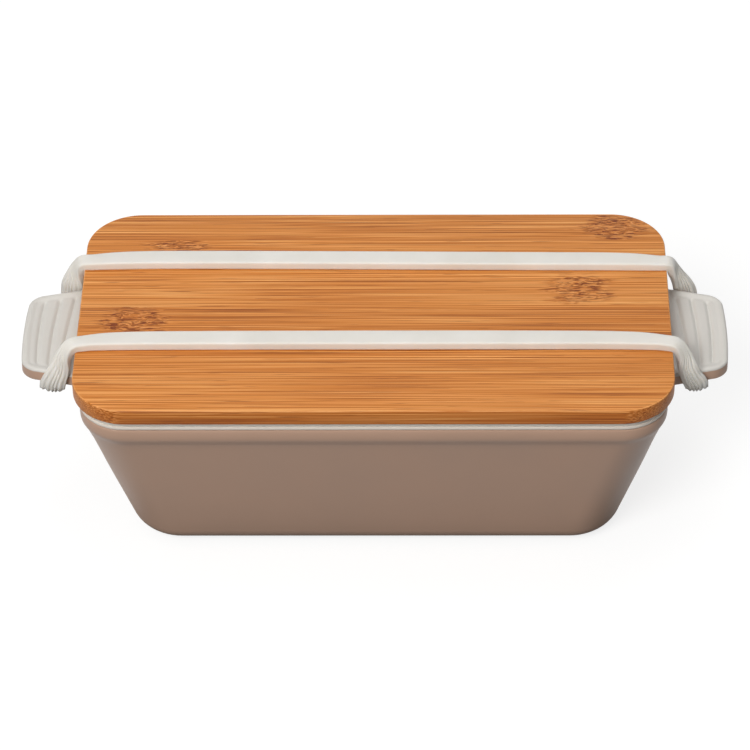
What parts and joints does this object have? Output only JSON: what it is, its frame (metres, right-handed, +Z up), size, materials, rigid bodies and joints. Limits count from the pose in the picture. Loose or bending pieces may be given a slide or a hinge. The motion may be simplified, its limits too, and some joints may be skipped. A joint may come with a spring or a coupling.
{
  "type": "bento lunch box",
  "caption": "Rectangular lunch box with a tapered tub, ribbed end handles, a divider, a sealing inner lid, a bamboo lid and an elastic band round the lid and handles.",
  "frame": {"origin": "middle of the flat base, on the surface the box stands on", "axes": "+X along the long side from handle to handle, +Y from the front to the back, +Z up"},
  "size_m": [0.2396, 0.108, 0.0777],
  "materials": {
    "tub_plastic": "satin taupe outside, off-white lip, inside and handle tops",
    "divider_plastic": "satin off-white",
    "inner_lid_plastic": "satin white",
    "seal_rubber": "matt pale silicone",
    "bamboo_light": "satin lacquered bamboo, lighter strip",
    "bamboo_dark": "satin lacquered bamboo, darker strip",
    "band_rubber": "matt white ribbed silicone"
  },
  "bodies": {
    "container": {"container": "tub_plastic"},
    "divider": {"divider": "divider_plastic"},
    "inner_lid": {"inner_lid": "inner_lid_plastic", "lid_seal": "seal_rubber"},
    "bamboo_lid": {"lid_strip_1": "bamboo_light", "lid_strip_2": "bamboo_dark", "lid_strip_3": "bamboo_dark", "lid_strip_4": "bamboo_light", "lid_strip_5": "bamboo_light", "lid_strip_6": "bamboo_light"},
    "elastic_band": {"elastic_band": "band_rubber"}
  },
  "joints": [
    {"name": "lid_lift", "type": "slide", "parent": "container", "child": "bamboo_lid", "axis": [0, 0, 1], "range_m": [0, 0.11]},
    {"name": "inner_lid_lift", "type": "slide", "parent": "container", "child": "inner_lid", "axis": [0, 0, 1], "range_m": [0, 0.055]},
    {"name": "band_lift", "type": "slide", "parent": "container", "child": "elastic_band", "axis": [0, 0, 1], "range_m": [0, 0.16], "deforming": ["elastic_band"]},
    {"name": "divider_slide", "type": "slide", "parent": "container", "child": "divider", "axis": [1, 0, 0], "range_m": [-0.07, 0.034]}
  ],
  "couplings": [
    {"joint": "inner_lid_lift", "follows": "lid_lift", "ratio": 0.5},
    {"joint": "band_lift", "follows": "lid_lift", "ratio": 1.45}
  ]
}
